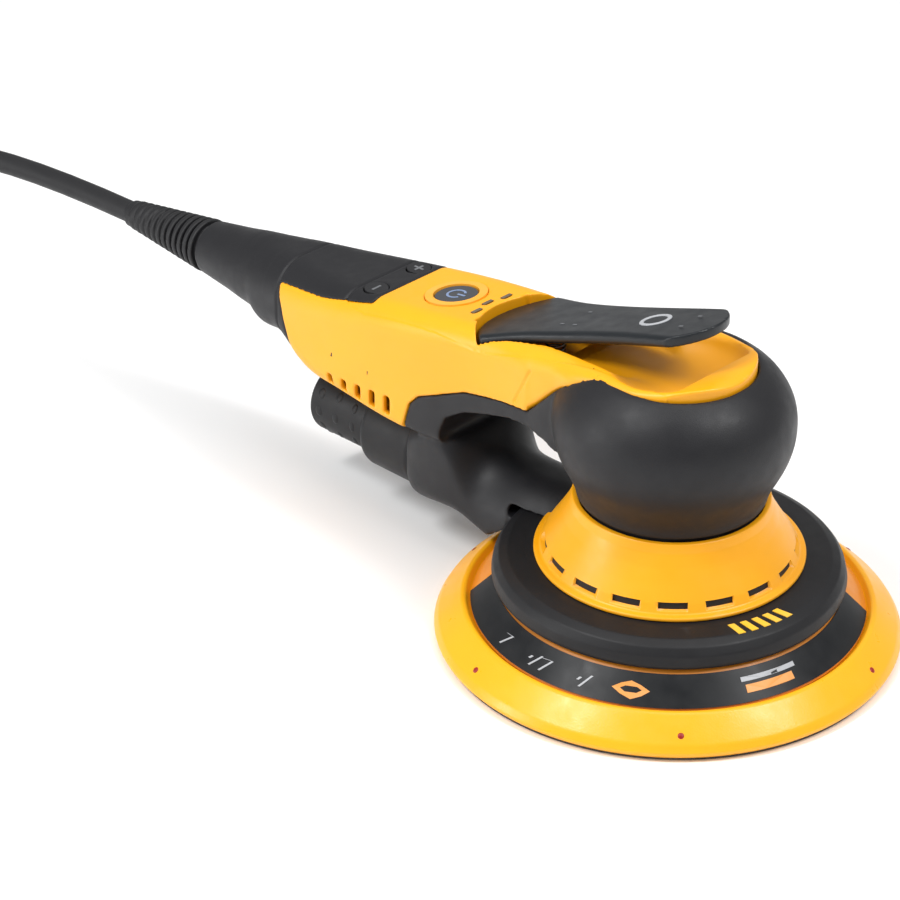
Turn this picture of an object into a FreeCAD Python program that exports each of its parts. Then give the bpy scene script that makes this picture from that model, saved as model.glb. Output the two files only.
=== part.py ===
"""Random orbital sander with a 150 mm pad, a lever switch, dust extraction and a mains cord.

Millimetres. The origin is on the motor axis at the pad's working face, +X towards the nose,
+Z up, with the handle and the cord along -X.
"""
import FreeCAD, Part
import math
import os
import Sketcher

V = FreeCAD.Vector

# ---------------------------------------------------------------- driving dimensions
SIZES = {
    # pad and orbit
    "orbit_shift_x": 0.87, "orbit_shift_y": -0.90,
    "dust_hole_radius": 3.0, "inner_hole_circle": 26.0, "outer_hole_circle": 48.0,
    "bush_circle": 70.9, "bush_height": 7.2, "bush_radius": 1.1, "bush_length": 4.0,
    "bush_count": 6, "bush_start": 14.0,
    "label_from": -139.0, "label_sweep": 175.0,
    # head
    "slot_count": 17, "slot_width": 9.2, "slot_low": 32.1, "slot_high": 34.1,
    "slot_turn": -5.6, "slot_depth_from": 38.6, "skirt_screw_circle": 37.0, "screw_radius": 1.5,
    "screw_head_radius": 2.8, "screw_count": 4,
    "cover_nose_radius": 24.7, "cover_nose_x": 0.4, "casing_radius": 28.6,
    "crown_half": 20.0, "crown_floor": 92.0, "crown_front": -14.0,
    "casing_top": 88.5,
    # spindle
    "shaft_radius": 4.0, "bearing_radius": 11.0, "running_gap": 0.05,
    "pad_shaft_radius": 5.0, "fan_radius": 27.5, "fan_blades": 9, "fan_blade_width": 1.6,
    "fan_hub_radius": 12.0, "fan_low": 36.0, "fan_high": 44.0,
    # handle
    "wall": 2.2, "seam_floor": 42.9, "vent_slot_count": 5, "vent_slot_pitch": 7.0,
    "vent_slot_first": -133.0, "vent_slot_width": 2.8, "vent_slot_low": 46.0,
    "vent_slot_short": 4.0, "vent_slot_growth": 0.7,
    "recess_floor": 79.6, "recess_front": -30.0, "recess_wall": 1.8, "lever_gap": 0.6,
    "lever_pivot_x": -68.0, "lever_pivot_z": 78.0, "lever_lug_top": 86.0,
    "lever_pin_radius": 1.5, "lever_pin_half": 12.0, "lever_block_half": 8.0,
    "spring_x": -50.0, "spring_z": 80.2, "spring_tall": 5.8, "spring_pitch": 1.6,
    "spring_radius": 3.0, "spring_wire": 0.4,
    "button_x": -94.0, "button_z": 86.0, "button_tilt": -8.0, "button_radius": 7.4,
    "button_tall": 4.6, "ring_radius": 10.4, "ring_tall": 3.4, "ring_proud": 0.9,
    "speed_x": -121.0, "speed_y": 10.0, "speed_z": 82.8, "speed_radius": 4.0,
    "speed_tall": 3.2, "part_gap": 0.3,
    "lamp_x": -80.0, "lamp_pitch": 7.0, "lamp_long": 1.4, "lamp_wide": 4.2,
    # hose fitting and cord
    "hose_z": 26.7, "hose_neck_radius": 13.6, "hose_neck_bore": 10.7,
    "hose_neck_end": -108.0, "duct_rear": -101.0,
    "tail_x": -181.0, "tail_z": 63.3, "tail_tilt": -1.67,
    "cord_diameter": 8.0, "relief_end": -255.0, "relief_start": -212.0, "rib_count": 12,
    "rib_radius": 9.6, "rib_taper": 4.1, "coil_x": -480.0, "coil_y": -79.0,
    "coil_outer": 60.0, "coil_inner": 28.0, "coil_tall": 23.5,
    "plug_lift": 0.4, "plug_shift_x": -8.2, "plug_shift_y": 41.1, "plug_turn": 185.0,
    "plug_pin_radius": 2.4, "plug_pin_long": 19.0, "plug_pin_half": 9.5, "plug_pin_z": 31.5,
}

# Outlines as (first, second) coordinates: radius and height for parts turned about +Z,
# position along X and radius for parts turned about X, X and Z for parts cut from the side.
OUTLINES = {
    "hook": [(9, 0), (73, 0), (73.2, 0.8), (9, 0.8)],
    "foam": [(9, 0.8), (73.4, 0.8), (75, 3), (73.6, 5.4), (66, 12.5), (64.7, 12.5),
             (63.6, 10.6), (60, 9), (9, 9)],
    "plate": [(5, 9), (60, 9), (63.4, 10.9), (54, 20), (24, 20), (20, 14), (5, 14)],
    "label": [(62.9, 11.7), (55.2, 19.15), (55.6, 19.5), (63.3, 12.05)],
    "pad_shaft": [(0, 4.6), (8.8, 4.6), (8.8, 8.9), (4.9, 9), (4.9, 14.1), (8, 14.1),
                  (8, 21), (5, 21), (5, 30), (0, 30)],
    "pad_screw": [(0, 1.7), (7, 1.7), (7, 4.5), (0, 4.5)],
    "skirt": [(33, 27), (33, 29.2), (46, 29.2), (51.5, 28.8), (54.4, 27.4), (56.1, 25),
              (56.7, 22), (56.5, 20.8), (54.9, 20.8), (54.7, 24.2), (53, 26.2), (50, 27)],
    "grip_curve": [(30.4, 50.5), (31.8, 56), (35.2, 63), (37.8, 70.5), (38.4, 77), (37.4, 83.5),
                   (35, 88.5), (31.8, 92.5), (28.4, 95.3), (25.8, 96.8), (24.3, 97)],
    "grip_inside": [(24.3, 92.4), (28.7, 89), (28.7, 50.5)],
    "dish": [(0, 91.4), (6, 91.5), (11, 91.9), (15, 92.6), (18.2, 93.9), (20.4, 95.6),
             (21.6, 97.4), (22.4, 99), (0, 99)],
    "seal": [(52.3, 20.4), (54.4, 20.4), (54.4, 24), (52.9, 25.6), (52.3, 25.8)],
    "collar": [(33, 29.4), (43.3, 29.4), (43.3, 30.6), (41.4, 31), (40, 33.9), (36.9, 38.6),
               (34.2, 43), (32.2, 47), (31.4, 50), (29.6, 50), (30.2, 46.6), (32.3, 42.4),
               (35, 38), (37.6, 34.4), (37.9, 32.8), (33, 32.8)],
    "casing": [(11, 46), (28.6, 46), (28.6, 88.5), (11, 88.5), (11, 86.5), (26.6, 86.5),
               (26.6, 53), (11.1, 53)],
    "stator": [(18, 58), (26.5, 58), (26.5, 80), (18, 80)],
    "winding_low": [(19, 54.5), (25, 54.5), (25.8, 55.5), (25.8, 57.9), (19, 57.9)],
    "winding_high": [(19, 80.1), (25.8, 80.1), (25.8, 83.4), (25, 84.6), (19, 84.6)],
    "rotor": [(4, 57), (17, 57), (17, 81), (4, 81)],
    "bearing_low": [(4.05, 46.2), (10.95, 46.2), (10.95, 52.8), (4.05, 52.8)],
    "bearing_high": [(4.05, 82.5), (10.8, 82.5), (10.8, 88.4), (4.05, 88.4)],
    "shaft": [(0, 33.2), (4, 33.2), (4, 88), (0, 88)],
    "fan_disc": [(4, 44), (27.5, 44), (27.5, 45.4), (4, 45.4)],
    "rear_cone": [(-212, 7.0), (-212, 9.6), (-197, 11.6), (-190, 12.8), (-181.6, 14.1),
                  (-181.6, 11.5), (-190, 10.0), (-200, 8.6), (-206, 7.0)],
    "hose_collar": [(-125, 12), (-125, 15), (-123.5, 15.7), (-103.5, 15.8), (-101.4, 15.2),
                    (-101.4, 13.9), (-108.4, 13.9), (-108.4, 12)],
    "spigot": [(-152, 10.7), (-152, 12.1), (-151.2, 12.5), (-125.5, 12.5), (-125.2, 11.95),
               (-108.5, 11.95), (-108.5, 10.7)],
    "yellow_side": [(-161.3, 72.5), (-158.5, 62), (-155, 52), (-152, 41), (-98, 41), (-98, 44),
                    (-95, 54), (-91, 58), (-71, 67), (-56, 70), (-42, 72), (-42, 97),
                    (-115, 97), (-115, 82), (-138, 76)],
    "black_rear": [(-182, 41), (-152, 41), (-155, 52), (-158.5, 62), (-161.3, 72.5), (-138, 76),
                   (-115, 82), (-115, 97), (-182, 97)],
    "black_web": [(-98, 41), (-98, 44), (-95, 54), (-91, 58), (-71, 67), (-56, 70),
                  (-42, 72), (-33, 81), (-25, 89), (-25, 61.5), (-34, 64.8), (-42, 66),
                  (-50, 65.2), (-58, 63), (-72, 58.5), (-79, 54), (-81.5, 48), (-81.5, 41)],
    "web_pocket": [(-95.5, 47), (-92.6, 56), (-90, 60), (-71, 69), (-56, 72), (-48, 73),
                   (-48, 69.6), (-57, 67), (-72, 63.5), (-84, 58), (-87, 52), (-87, 47)],
    "lever_rear": [(-65, -19.4), (-75.3, 0), (-65, 19.4)],
    "lever_front": [(5, 14), (16, 0), (5, -14)],
}

# Sections along X: position, half width, bottom, top, top corner radius, bottom corner radius.
SECTIONS = {
    "handle": [(-181, 14.2, 49.2, 77.4, 14, 14), (-166, 16.9, 48.7, 78.5, 13, 12.5),
               (-156, 18.4, 46.2, 79.1, 12, 10), (-147, 19.6, 43.4, 79.7, 11, 8),
               (-135, 20.8, 43, 81.0, 10, 7), (-110, 22, 43, 84.4, 8.5, 4),
               (-85, 21.6, 43, 88, 7.5, 3.4), (-66, 20.9, 43, 90.2, 7, 5),
               (-42, 22.6, 43, 93, 7, 5), (-22, 22.6, 43, 95, 7, 5)],
    "cover": [(-42, 22.6, 72, 93, 7, 3), (-36, 22.7, 77.3, 94, 6.5, 3),
              (-31, 22.9, 82, 94.6, 6, 3), (-27, 23.6, 85.6, 95, 5.5, 2.5),
              (-23, 24.7, 88, 95.4, 5, 2), (-18, 24.9, 89, 96.2, 4, 2),
              (-10, 24.8, 89.5, 97, 2.5, 1.5), (2, 24.8, 89.5, 97.2, 2, 1),
              (26, 24.8, 89.5, 97.2, 2, 1)],
    "duct": [(-101, 17, 10.7, 43.2, 9.5, 15.5), (-90, 20.3, 15.3, 44.4, 4, 9),
             (-82, 20.3, 16.5, 45, 5, 8), (-72, 18.8, 15.5, 39.5, 17.2, 5),
             (-62, 19, 13, 36.8, 18.5, 4.5), (-50, 19.5, 11.5, 36.2, 18.5, 4.5),
             (-33, 19.5, 11.5, 35, 18, 4.5)],
    "lever": [(-77, 19.6, 81, 85.2, 2, 1.5), (-65, 19.3, 84.9, 89, 2, 1.5),
              (-55, 16.4, 88.3, 92.4, 2, 1.5), (-40, 14, 93.2, 97.4, 2, 1.5),
              (-9, 13, 103.9, 108, 2, 1.2), (8, 13.8, 109.6, 113.4, 1.6, 1.2),
              (22, 13.8, 114.4, 117.8, 1.4, 1.2)],
    "plug": [(-24, 4.6, 24.5, 33.7, 4.4, 4.4), (-6, 8, 24.1, 36.5, 5, 5),
             (6, 17, 23.6, 39, 6, 6), (22, 17.6, 23.6, 39.4, 6, 6)],
}

# Channel from the lever's recess into the dish: position, half width at the floor and at the
# top, floor height.
CHANNEL = [(-43, 14.6, 14.6, 84), (-31, 14.8, 16, 89.2), (-20, 13.6, 18.2, 90.7),
           (-8, 9.8, 19.6, 91.5), (1, 8, 18, 91.7)]

# Cord route: straight out of the strain relief, down to the floor and into the coil.
CORD_ROUTE = [(-255, 0, 61.14), (-335, 0, 60.8), (-375, -24, 54), (-408, -27, 24),
              (-444, -23, 4.3), (-480, -23, 4.3)]

doc = FreeCAD.newDocument("orbital_sander")
sheet = doc.addObject("Spreadsheet::Sheet", "Sizes")
values = {}
parts = []


# ---------------------------------------------------------------- sheet
def put(alias, number):
    """Store one number in the next row of the sheet under its alias."""
    row = len(values) + 1
    sheet.set("A%d" % row, alias)
    sheet.set("B%d" % row, "%.4f" % number)
    sheet.setAlias("B%d" % row, alias)
    values[alias] = number


def fill_sheet():
    for alias, number in SIZES.items():
        put(alias, number)
    for name, points in OUTLINES.items():
        for index, (first, second) in enumerate(points):
            put("%s_first_%d" % (name, index), first)
            put("%s_second_%d" % (name, index), second)
    for index, row in enumerate(CHANNEL):
        for field, number in zip(("place", "floor_half", "top_half", "floor"), row):
            put("channel_%s_%d" % (field, index), number)
    fields = ("place", "half", "low", "high", "top_round", "low_round")
    for name, rows in SECTIONS.items():
        for index, row in enumerate(rows):
            for field, number in zip(fields, row):
                put("%s_%s_%d" % (name, field, index), number)
    doc.recompute()


def size(alias):
    return float(sheet.get(alias))


def outline(name):
    count = len(OUTLINES[name])
    return [(size("%s_first_%d" % (name, i)), size("%s_second_%d" % (name, i)))
            for i in range(count)]


# ---------------------------------------------------------------- part design helpers
def origin_plane(body, role):
    for feature in body.Origin.OriginFeatures:
        if feature.Role == role:
            return feature
    raise ValueError(role)


def new_body(label):
    body = doc.addObject("PartDesign::Body", label)
    body.Label = label
    parts.append(body)
    return body


def new_sketch(body, name, role):
    sketch = body.newObject("Sketcher::SketchObject", name)
    sketch.AttachmentSupport = [(origin_plane(body, role), "")]
    sketch.MapMode = "FlatFace"
    return sketch


def bind(sketch, index, expression):
    sketch.setExpression("Constraints[%d]" % index, expression)


def fix_point(sketch, line, expressions, numbers):
    """Tie a line's start to the sheet, measured from the sketch's origin."""
    kinds = ("DistanceX", "DistanceY")
    axes = (-2, -1)
    for kind, axis, expression, number in zip(kinds, axes, expressions, numbers):
        if abs(number) < 1e-9:
            sketch.addConstraint(Sketcher.Constraint("PointOnObject", line, 1, axis))
        else:
            rule = Sketcher.Constraint(kind, -1, 1, line, 1, number)
            bind(sketch, sketch.addConstraint(rule), expression)


def draw_outline(sketch, name):
    """Closed outline of straight edges whose corners follow the sheet."""
    points = outline(name)
    count = len(points)
    for i in range(count):
        start = V(points[i][0], points[i][1], 0)
        end = V(points[(i + 1) % count][0], points[(i + 1) % count][1], 0)
        sketch.addGeometry(Part.LineSegment(start, end), False)
    for i in range(count):
        sketch.addConstraint(Sketcher.Constraint("Coincident", i, 2, (i + 1) % count, 1))
    for i in range(count):
        cells = ("Sizes.%s_first_%d" % (name, i), "Sizes.%s_second_%d" % (name, i))
        fix_point(sketch, i, cells, points[i])


def revolve(body, name, axis, sweep=360.0):
    """Turn an outline about the sketch's vertical (Z) or horizontal (X) axis."""
    sketch = new_sketch(body, "%s_outline" % name, "XZ_Plane")
    draw_outline(sketch, name)
    feature = body.newObject("PartDesign::Revolution", "%s_turned" % name)
    feature.Profile = sketch
    feature.ReferenceAxis = (sketch, [axis])
    feature.Angle = sweep
    doc.recompute()
    return feature


def turned(label, name, place=None, along_x=False):
    body = new_body(label)
    revolve(body, name, "H_Axis" if along_x else "V_Axis")
    if place is not None:
        body.Placement = place
    return body


def circle_cut(body, name, role, centre, radius, length, reverse=False):
    """Round pocket through the body; centre and radius are sheet expressions."""
    sketch = new_sketch(body, name, role)
    numbers = [sketch.evalExpression(text) for text in centre]
    hole = sketch.addGeometry(Part.Circle(V(numbers[0], numbers[1], 0), V(0, 0, 1), 1.0), False)
    bind(sketch, sketch.addConstraint(Sketcher.Constraint("Radius", hole, 1.0)), radius)
    for kind, axis, text, number in zip(("DistanceX", "DistanceY"), (-2, -1), centre, numbers):
        if abs(number) < 1e-9:
            sketch.addConstraint(Sketcher.Constraint("PointOnObject", hole, 3, axis))
        else:
            rule = Sketcher.Constraint(kind, -1, 1, hole, 3, number)
            bind(sketch, sketch.addConstraint(rule), text)
    pocket = body.newObject("PartDesign::Pocket", "%s_pocket" % name)
    pocket.Profile = sketch
    pocket.Length = length
    pocket.Reversed = reverse
    doc.recompute()
    return pocket


def around(body, feature, count):
    """Repeat a feature round the body's Z axis."""
    before = body.Shape.Volume
    pattern = body.newObject("PartDesign::PolarPattern", "%s_round" % feature.Name)
    pattern.Originals = [feature]
    pattern.Axis = (origin_plane(body, "Z_Axis"), [""])
    pattern.Angle = 360
    pattern.setExpression("Occurrences", count)
    body.Tip = pattern
    doc.recompute()
    if abs(body.Shape.Volume - before) < 1e-3:
        raise RuntimeError("pattern changed nothing: %s" % body.Label)
    return pattern


def at(x=0.0, y=0.0, z=0.0, tilt=0.0):
    """Placement with a turn about +Y in degrees."""
    return FreeCAD.Placement(V(x, y, z), FreeCAD.Rotation(V(0, 1, 0), tilt))


# ---------------------------------------------------------------- solid helpers
def feature(label, shape, place=None):
    item = doc.addObject("Part::Feature", label)
    item.Label = label
    item.Shape = shape
    if place is not None:
        item.Placement = place
    parts.append(item)
    return item


def rounded_section(name, index, inset):
    """Rounded rectangle across X, drawn inset from the outer section."""
    x = size("%s_place_%d" % (name, index))
    half = size("%s_half_%d" % (name, index)) - inset
    low = size("%s_low_%d" % (name, index)) + inset
    high = size("%s_high_%d" % (name, index)) - inset
    top = max(size("%s_top_round_%d" % (name, index)) - inset, 0.8)
    bottom = max(size("%s_low_round_%d" % (name, index)) - inset, 0.8)

    def corner(y, z, radius, start):
        points = []
        for step in (0, 45, 90):
            angle = math.radians(start + step)
            points.append(V(x, y + radius * math.cos(angle), z + radius * math.sin(angle)))
        return points

    arcs = [corner(half - bottom, low + bottom, bottom, -90),
            corner(half - top, high - top, top, 0),
            corner(top - half, high - top, top, 90),
            corner(bottom - half, low + bottom, bottom, 180)]
    edges = []
    for i, arc in enumerate(arcs):
        edges.append(Part.Arc(*arc).toShape())
        edges.append(Part.LineSegment(arc[2], arcs[(i + 1) % 4][0]).toShape())
    return Part.Wire(edges)


def form(name, inset=0.0, first=0, last=None):
    """Smooth solid through a run of rounded sections."""
    count = len(SECTIONS[name])
    stop = count if last is None else last
    wires = [rounded_section(name, i, inset) for i in range(first, stop)]
    return Part.makeLoft(wires, True, False)


def side_prism(name, half=40.0):
    """Extrude an X-Z outline across the whole width."""
    points = [V(x, -half, z) for x, z in outline(name)]
    return Part.Face(Part.makePolygon(points + points[:1])).extrude(V(0, 2 * half, 0))


def block(low, high):
    return Part.makeBox(high[0] - low[0], high[1] - low[1], high[2] - low[2], V(*low))


def rod(radius, start, end):
    axis = V(*end) - V(*start)
    return Part.makeCylinder(radius, axis.Length, V(*start), axis)


# ---------------------------------------------------------------- pad
def pad_place():
    return at(size("orbit_shift_x"), size("orbit_shift_y"))


def pad_layer(label, name):
    """One turned layer of the pad, with the two rings of dust holes."""
    body = new_body(label)
    revolve(body, name, "V_Axis")
    for ring, count in (("inner", "8"), ("outer", "16")):
        hole = circle_cut(body, "%s_%s" % (ring, name), "XY_Plane",
                          ("Sizes.%s_hole_circle" % ring, "0"), "Sizes.dust_hole_radius",
                          40.0, reverse=True)
        around(body, hole, count)
    body.Placement = pad_place()
    return body


def pad():
    pad_layer("hook_face", "hook")
    pad_layer("pad_foam", "foam")
    pad_layer("pad_plate", "plate")
    turned("pad_spindle", "pad_shaft", pad_place())
    turned("pad_screw", "pad_screw", pad_place())
    pad_label()
    rim_bushes()
    fit_foam_to_bushes()


def pad_label():
    """Printed arc on the plate's cone."""
    points = [V(r, 0, z) for r, z in outline("label")]
    face = Part.Face(Part.makePolygon(points + points[:1]))
    face.rotate(V(0, 0, 0), V(0, 0, 1), size("label_from"))
    arc = face.revolve(V(0, 0, 0), V(0, 0, 1), size("label_sweep"))
    feature("pad_label", arc, pad_place())


def bush_rods(radius):
    """Small plugs square to the pad's bevel, in the pad's own frame."""
    rods = []
    for i in range(int(size("bush_count"))):
        angle = math.radians(size("bush_start") + 360.0 * i / size("bush_count"))
        out = V(math.cos(angle), math.sin(angle), 0)
        lean = out * 0.68 + V(0, 0, 0.73)
        tip = out * size("bush_circle") + V(0, 0, size("bush_height"))
        rods.append(Part.makeCylinder(radius, size("bush_length"), tip, lean * -1))
    return Part.makeCompound(rods)


def rim_bushes():
    feature("rim_bushes", bush_rods(size("bush_radius")), pad_place())


def fit_foam_to_bushes():
    """Drill the foam for the rim bushes."""
    foam = next(item for item in parts if item.Label == "pad_foam")
    tool = doc.addObject("Part::Feature", "bush_holes")
    tool.Shape = bush_rods(size("bush_radius") + 0.02)
    tool.Placement = pad_place()
    cut = doc.addObject("Part::Cut", "pad_foam_drilled")
    cut.Base = foam
    cut.Tool = tool
    foam.Label = "foam_blank"
    cut.Label = "pad_foam"
    parts[parts.index(foam)] = cut


# ---------------------------------------------------------------- spindle
def spindle():
    turned("spindle_shaft", "shaft")
    turned("rotor_magnets", "rotor")
    fan()
    eccentric()
    turned("upper_bearing", "bearing_high")
    turned("lower_bearing", "bearing_low")


def fan():
    """Backplate and radial blades."""
    points = [V(r, 0, z) for r, z in outline("fan_disc")]
    disc = Part.Face(Part.makePolygon(points + points[:1])).revolve(V(0, 0, 0), V(0, 0, 1), 360)
    hub = rod(size("fan_hub_radius"), (0, 0, size("fan_low")), (0, 0, size("fan_high")))
    solid = disc.fuse(hub)
    half = size("fan_blade_width") / 2
    for i in range(int(size("fan_blades"))):
        blade = block((size("fan_hub_radius") - 1, -half, size("fan_low")),
                      (size("fan_radius"), half, size("fan_high")))
        blade.rotate(V(0, 0, 0), V(0, 0, 1), 360.0 * i / size("fan_blades"))
        solid = solid.fuse(blade)
    bore = rod(size("shaft_radius") + 0.01, (0, 0, 30), (0, 0, 50))
    feature("cooling_fan", solid.cut(bore).removeSplitter())


def eccentric():
    """Balance weight under the fan, bored for the pad bearing at the orbit's offset."""
    shift = (size("orbit_shift_x"), size("orbit_shift_y"))
    hub = rod(15.0, (0, 0, 22.4), (0, 0, 35.8))
    weight = rod(25.0, (0, 0, 30.0), (0, 0, 35.8)).cut(block((-30, -30, 29), (30, 6, 37)))
    weight = weight.common(rod(25.0, (0, 0, 30), (0, 0, 35.8)))
    body = hub.fuse(weight)
    seat = rod(size("bearing_radius"), (shift[0], shift[1], 20), (shift[0], shift[1], 30.4))
    bore = rod(size("shaft_radius") + 0.01, (0, 0, 33.1), (0, 0, 40))
    feature("balance_weight", body.cut(seat).cut(bore).removeSplitter())
    outer = rod(size("bearing_radius") - 0.01, (0, 0, 23), (0, 0, 30))
    inner = rod(size("pad_shaft_radius") + size("running_gap"), (0, 0, 22), (0, 0, 31))
    feature("pad_bearing", outer.cut(inner), pad_place())


# ---------------------------------------------------------------- head
def screw_spots(low, high, radius):
    """Rods at the skirt's screw positions."""
    rods = []
    for i in range(int(size("screw_count"))):
        angle = math.radians(45 + 360.0 * i / size("screw_count"))
        x = size("skirt_screw_circle") * math.cos(angle)
        y = size("skirt_screw_circle") * math.sin(angle)
        rods.append(rod(radius, (x, y, low), (x, y, high)))
    return rods


def drilled(label, source, tools):
    """Boolean cut of a finished part, which takes over its label."""
    tool = doc.addObject("Part::Feature", "%s_tool" % label)
    tool.Shape = Part.makeCompound(tools)
    cut = doc.addObject("Part::Cut", "%s_cut" % label)
    cut.Base = source
    cut.Tool = tool
    source.Label = "%s_blank" % label
    cut.Label = label
    parts[parts.index(source)] = cut
    return cut


def cooling_collar():
    """Flared collar with a ring of air slots."""
    body = new_body("cooling_collar")
    revolve(body, "collar", "V_Axis")
    sketch = new_sketch(body, "slot_shape", "YZ_Plane")
    half = size("slot_width") / 2
    corners = [(-half, size("slot_low")), (half, size("slot_low")),
               (half, size("slot_high")), (-half, size("slot_high"))]
    for i in range(4):
        a, b = corners[i], corners[(i + 1) % 4]
        sketch.addGeometry(Part.LineSegment(V(a[0], a[1], 0), V(b[0], b[1], 0)), False)
    for i in range(4):
        sketch.addConstraint(Sketcher.Constraint("Coincident", i, 2, (i + 1) % 4, 1))
    cells = [("-Sizes.slot_width / 2", "Sizes.slot_low"), ("Sizes.slot_width / 2", "Sizes.slot_low"),
             ("Sizes.slot_width / 2", "Sizes.slot_high"),
             ("-Sizes.slot_width / 2", "Sizes.slot_high")]
    for i in range(4):
        fix_point(sketch, i, cells[i], corners[i])
    sketch.AttachmentOffset = FreeCAD.Placement(V(0, 0, size("slot_depth_from")),
                                                FreeCAD.Rotation())
    pocket = body.newObject("PartDesign::Pocket", "slot_pocket")
    pocket.Profile = sketch
    pocket.Length = 12.0
    pocket.Reversed = True
    doc.recompute()
    around(body, pocket, "Sizes.slot_count")
    body.Placement = FreeCAD.Placement(V(0, 0, 0), FreeCAD.Rotation(V(0, 0, 1), size("slot_turn")))
    return body


def head():
    skirt = turned("dust_skirt", "skirt")
    window = form("duct", size("wall"), 1, 6)
    drilled("dust_skirt", skirt, screw_spots(26, 30, size("screw_radius") + 0.05) + [window])
    turned("brake_seal", "seal")
    collar = cooling_collar()
    drilled("cooling_collar", collar, screw_spots(29, 33.3, size("screw_radius") + 0.05))
    heads = screw_spots(24.8, 26.98, size("screw_head_radius"))
    shanks = screw_spots(26.9, 32.6, size("screw_radius"))
    screws = [shank.fuse(cap) for shank, cap in zip(shanks, heads)]
    feature("skirt_screws", Part.makeCompound(screws))
    turned("motor_casing", "casing")
    turned("stator_core", "stator")
    windings = []
    for name in ("winding_low", "winding_high"):
        points = [V(r, 0, z) for r, z in outline(name)]
        face = Part.Face(Part.makePolygon(points + points[:1]))
        windings.append(face.revolve(V(0, 0, 0), V(0, 0, 1), 360))
    feature("stator_windings", Part.makeCompound(windings))


def bulb(closing):
    """Solid of revolution inside the grip's curve, closed by straight edges."""
    curve_points = outline("grip_curve")
    curve = Part.BSplineCurve()
    curve.interpolate([V(r, 0, z) for r, z in curve_points])
    rest = [curve_points[-1]] + closing + [curve_points[0]]
    edges = [curve.toShape()]
    for a, b in zip(rest, rest[1:]):
        edges.append(Part.LineSegment(V(a[0], 0, a[1]), V(b[0], 0, b[1])).toShape())
    return Part.Face(Part.Wire(edges)).revolve(V(0, 0, 0), V(0, 0, 1), 360)


def cover_blank():
    nose_x = size("cover_nose_x")
    nose = rod(size("cover_nose_radius"), (nose_x, 0, 60), (nose_x, 0, 105))
    rear = block((size("cover_place_0"), -40, 60), (nose_x, 40, 105))
    return form("cover").common(nose.fuse(rear))


def lever_recess(grow):
    """Space that the lever needs, with a deeper well for its pivot."""
    gap = size("lever_gap") + grow
    rear = [V(x - gap, y + math.copysign(gap, y) * (y != 0), 0) for x, y in outline("lever_rear")]
    side = [(size("lever_place_%d" % i), size("lever_half_%d" % i) + gap) for i in (2, 3)]
    far = [V(x, y, 0) for x, y in side] + [V(size("recess_front"), side[-1][1], 0)]
    near = [V(point.x, -point.y, 0) for point in reversed(far)]
    edges = [Part.Arc(*rear).toShape()]
    corners = [rear[2]] + far + near + [rear[0]]
    for a, b in zip(corners, corners[1:]):
        edges.append(Part.LineSegment(a, b).toShape())
    upper = Part.Face(Part.Wire(edges)).extrude(V(0, 0, 60))
    upper.translate(V(0, 0, size("recess_floor") - grow))
    pivot = V(size("lever_pivot_x"), 0, size("lever_pivot_z"))
    reach = size("lever_pin_half") + 0.6 + grow
    well = block((pivot.x - 6 - grow, -reach, pivot.z - 5.6 - grow),
                 (pivot.x + 6 + grow, reach, 90))
    return upper.fuse(well)


def palm_grip():
    half = size("crown_half")
    crown = block((-45, -half, size("crown_floor")), (size("crown_front"), half, 110))
    feature("palm_grip", largest(bulb(outline("grip_inside")).cut(cover_blank()).cut(crown)))


def dish_channel():
    """Tapering channel that lets the lever's underside down into the dish."""
    wires = []
    for index in range(len(CHANNEL)):
        x, low, high, floor = (size("channel_%s_%d" % (field, index))
                               for field in ("place", "floor_half", "top_half", "floor"))
        points = [V(x, -low, floor), V(x, low, floor), V(x, high, 97), V(x, high, 110),
                  V(x, -high, 110), V(x, -high, 97)]
        wires.append(Part.makePolygon(points + points[:1]))
    return Part.makeLoft(wires, True, True)


def top_cover():
    points = [V(r, 0, z) for r, z in outline("dish")]
    dish = Part.Face(Part.makePolygon(points + points[:1])).revolve(V(0, 0, 0), V(0, 0, 1), 360)
    dish.translate(V(size("cover_nose_x"), 0, 0))
    casing = rod(size("casing_radius") + size("running_gap"), (0, 0, 40),
                 (0, 0, size("casing_top") + size("running_gap")))
    feature("top_cover", largest(cover_blank().cut(dish).cut(dish_channel()).cut(casing)))


# ---------------------------------------------------------------- handle
def vent_slots():
    slots = []
    for i in range(int(size("vent_slot_count"))):
        x = size("vent_slot_first") + i * size("vent_slot_pitch")
        tall = size("vent_slot_short") + i * size("vent_slot_growth")
        half = size("vent_slot_width") / 2
        low = size("vent_slot_low")
        slots.append(block((x - half, -30, low), (x + half, 30, low + tall)))
    return slots


def button_axis():
    return FreeCAD.Rotation(V(0, 1, 0), size("button_tilt")).multVec(V(0, 0, 1))


def button_hole(radius):
    centre = V(size("button_x"), 0, size("button_z"))
    axis = button_axis()
    return Part.makeCylinder(radius, 20, centre - axis * 10, axis)


def speed_holes(radius):
    return [rod(radius, (size("speed_x"), side * size("speed_y"), size("speed_z") - 8),
                (size("speed_x"), side * size("speed_y"), size("speed_z") + 8))
            for side in (-1, 1)]


def lamp_blocks(gap):
    """Three narrow light windows in a row across the top, behind the lever."""
    lamps = []
    for i in (-1, 0, 1):
        y = i * size("lamp_pitch")
        x = size("lamp_x") + 0.035 * y * y
        half_x = size("lamp_long") / 2 + gap
        half_y = size("lamp_wide") / 2 + gap
        lamps.append(block((x - half_x, y - half_y, 83), (x + half_x, y + half_y, 88.9)))
    return lamps


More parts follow.
